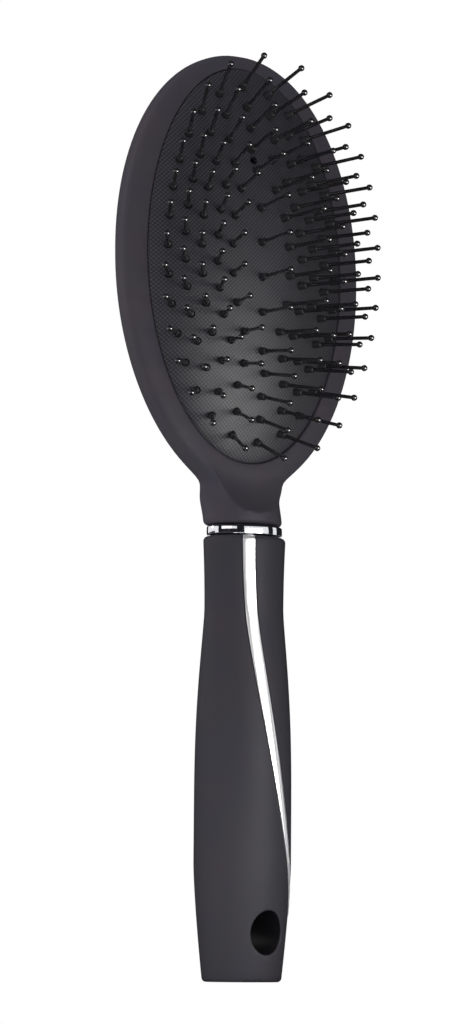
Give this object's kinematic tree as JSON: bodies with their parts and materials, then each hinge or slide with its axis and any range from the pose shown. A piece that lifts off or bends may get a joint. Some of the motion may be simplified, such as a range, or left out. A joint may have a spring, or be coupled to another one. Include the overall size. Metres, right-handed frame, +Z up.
{
  "type": "cushion brush",
  "caption": "Oval cushion brush: padded head with fanned ball-tipped pins that press in, chrome collar, soft-touch handle with a silver stripe and a hanging hole.",
  "frame": {"origin": "centre of the flat end of the handle, the face that the brush stands on", "axes": "+Z up the handle to the head, -Y the side that the pins stand on, +X to the right seen from the pins' side"},
  "size_m": [0.0732, 0.036, 0.2429],
  "materials": {
    "soft_touch": "soft-touch coating, matte charcoal",
    "pad_rubber": "matte, with a fine woven texture",
    "pin_nylon": "glossy black",
    "chrome": "mirror polish",
    "silver": "satin silver"
  },
  "bodies": {
    "brush": {"head_shell": "soft_touch", "cushion": "pad_rubber", "collar_ring": "chrome", "handle": "soft_touch", "stripe_trim": "silver"},
    "ring_1": {"pin_ring_1": "pin_nylon"},
    "ring_2": {"pin_ring_2": "pin_nylon"},
    "ring_3": {"pin_ring_3": "pin_nylon"},
    "ring_4": {"pin_ring_4": "pin_nylon"},
    "ring_5": {"pin_ring_5": "pin_nylon"},
    "row_centre": {"pin_row_centre": "pin_nylon"}
  },
  "joints": [
    {"name": "ring_1_press", "type": "slide", "parent": "brush", "child": "ring_1", "axis": [0, 0.999, -0.0436], "range_m": [0, 0.0025], "stiffness_N_per_m": 1260, "deforming": ["cushion"]},
    {"name": "ring_2_press", "type": "slide", "parent": "brush", "child": "ring_2", "axis": [0, 0.999, -0.0436], "range_m": [0, 0.0025], "stiffness_N_per_m": 1176, "deforming": ["cushion"]},
    {"name": "ring_3_press", "type": "slide", "parent": "brush", "child": "ring_3", "axis": [0, 0.999, -0.0436], "range_m": [0, 0.0025], "stiffness_N_per_m": 924, "deforming": ["cushion"]},
    {"name": "ring_4_press", "type": "slide", "parent": "brush", "child": "ring_4", "axis": [0, 0.999, -0.0436], "range_m": [0, 0.0025], "stiffness_N_per_m": 840, "deforming": ["cushion"]},
    {"name": "ring_5_press", "type": "slide", "parent": "brush", "child": "ring_5", "axis": [0, 0.999, -0.0436], "range_m": [0, 0.0025], "stiffness_N_per_m": 588, "deforming": ["cushion"]},
    {"name": "row_centre_press", "type": "slide", "parent": "brush", "child": "row_centre", "axis": [0, 0.999, -0.0436], "range_m": [0, 0.0025], "stiffness_N_per_m": 168, "deforming": ["cushion"]}
  ]
}
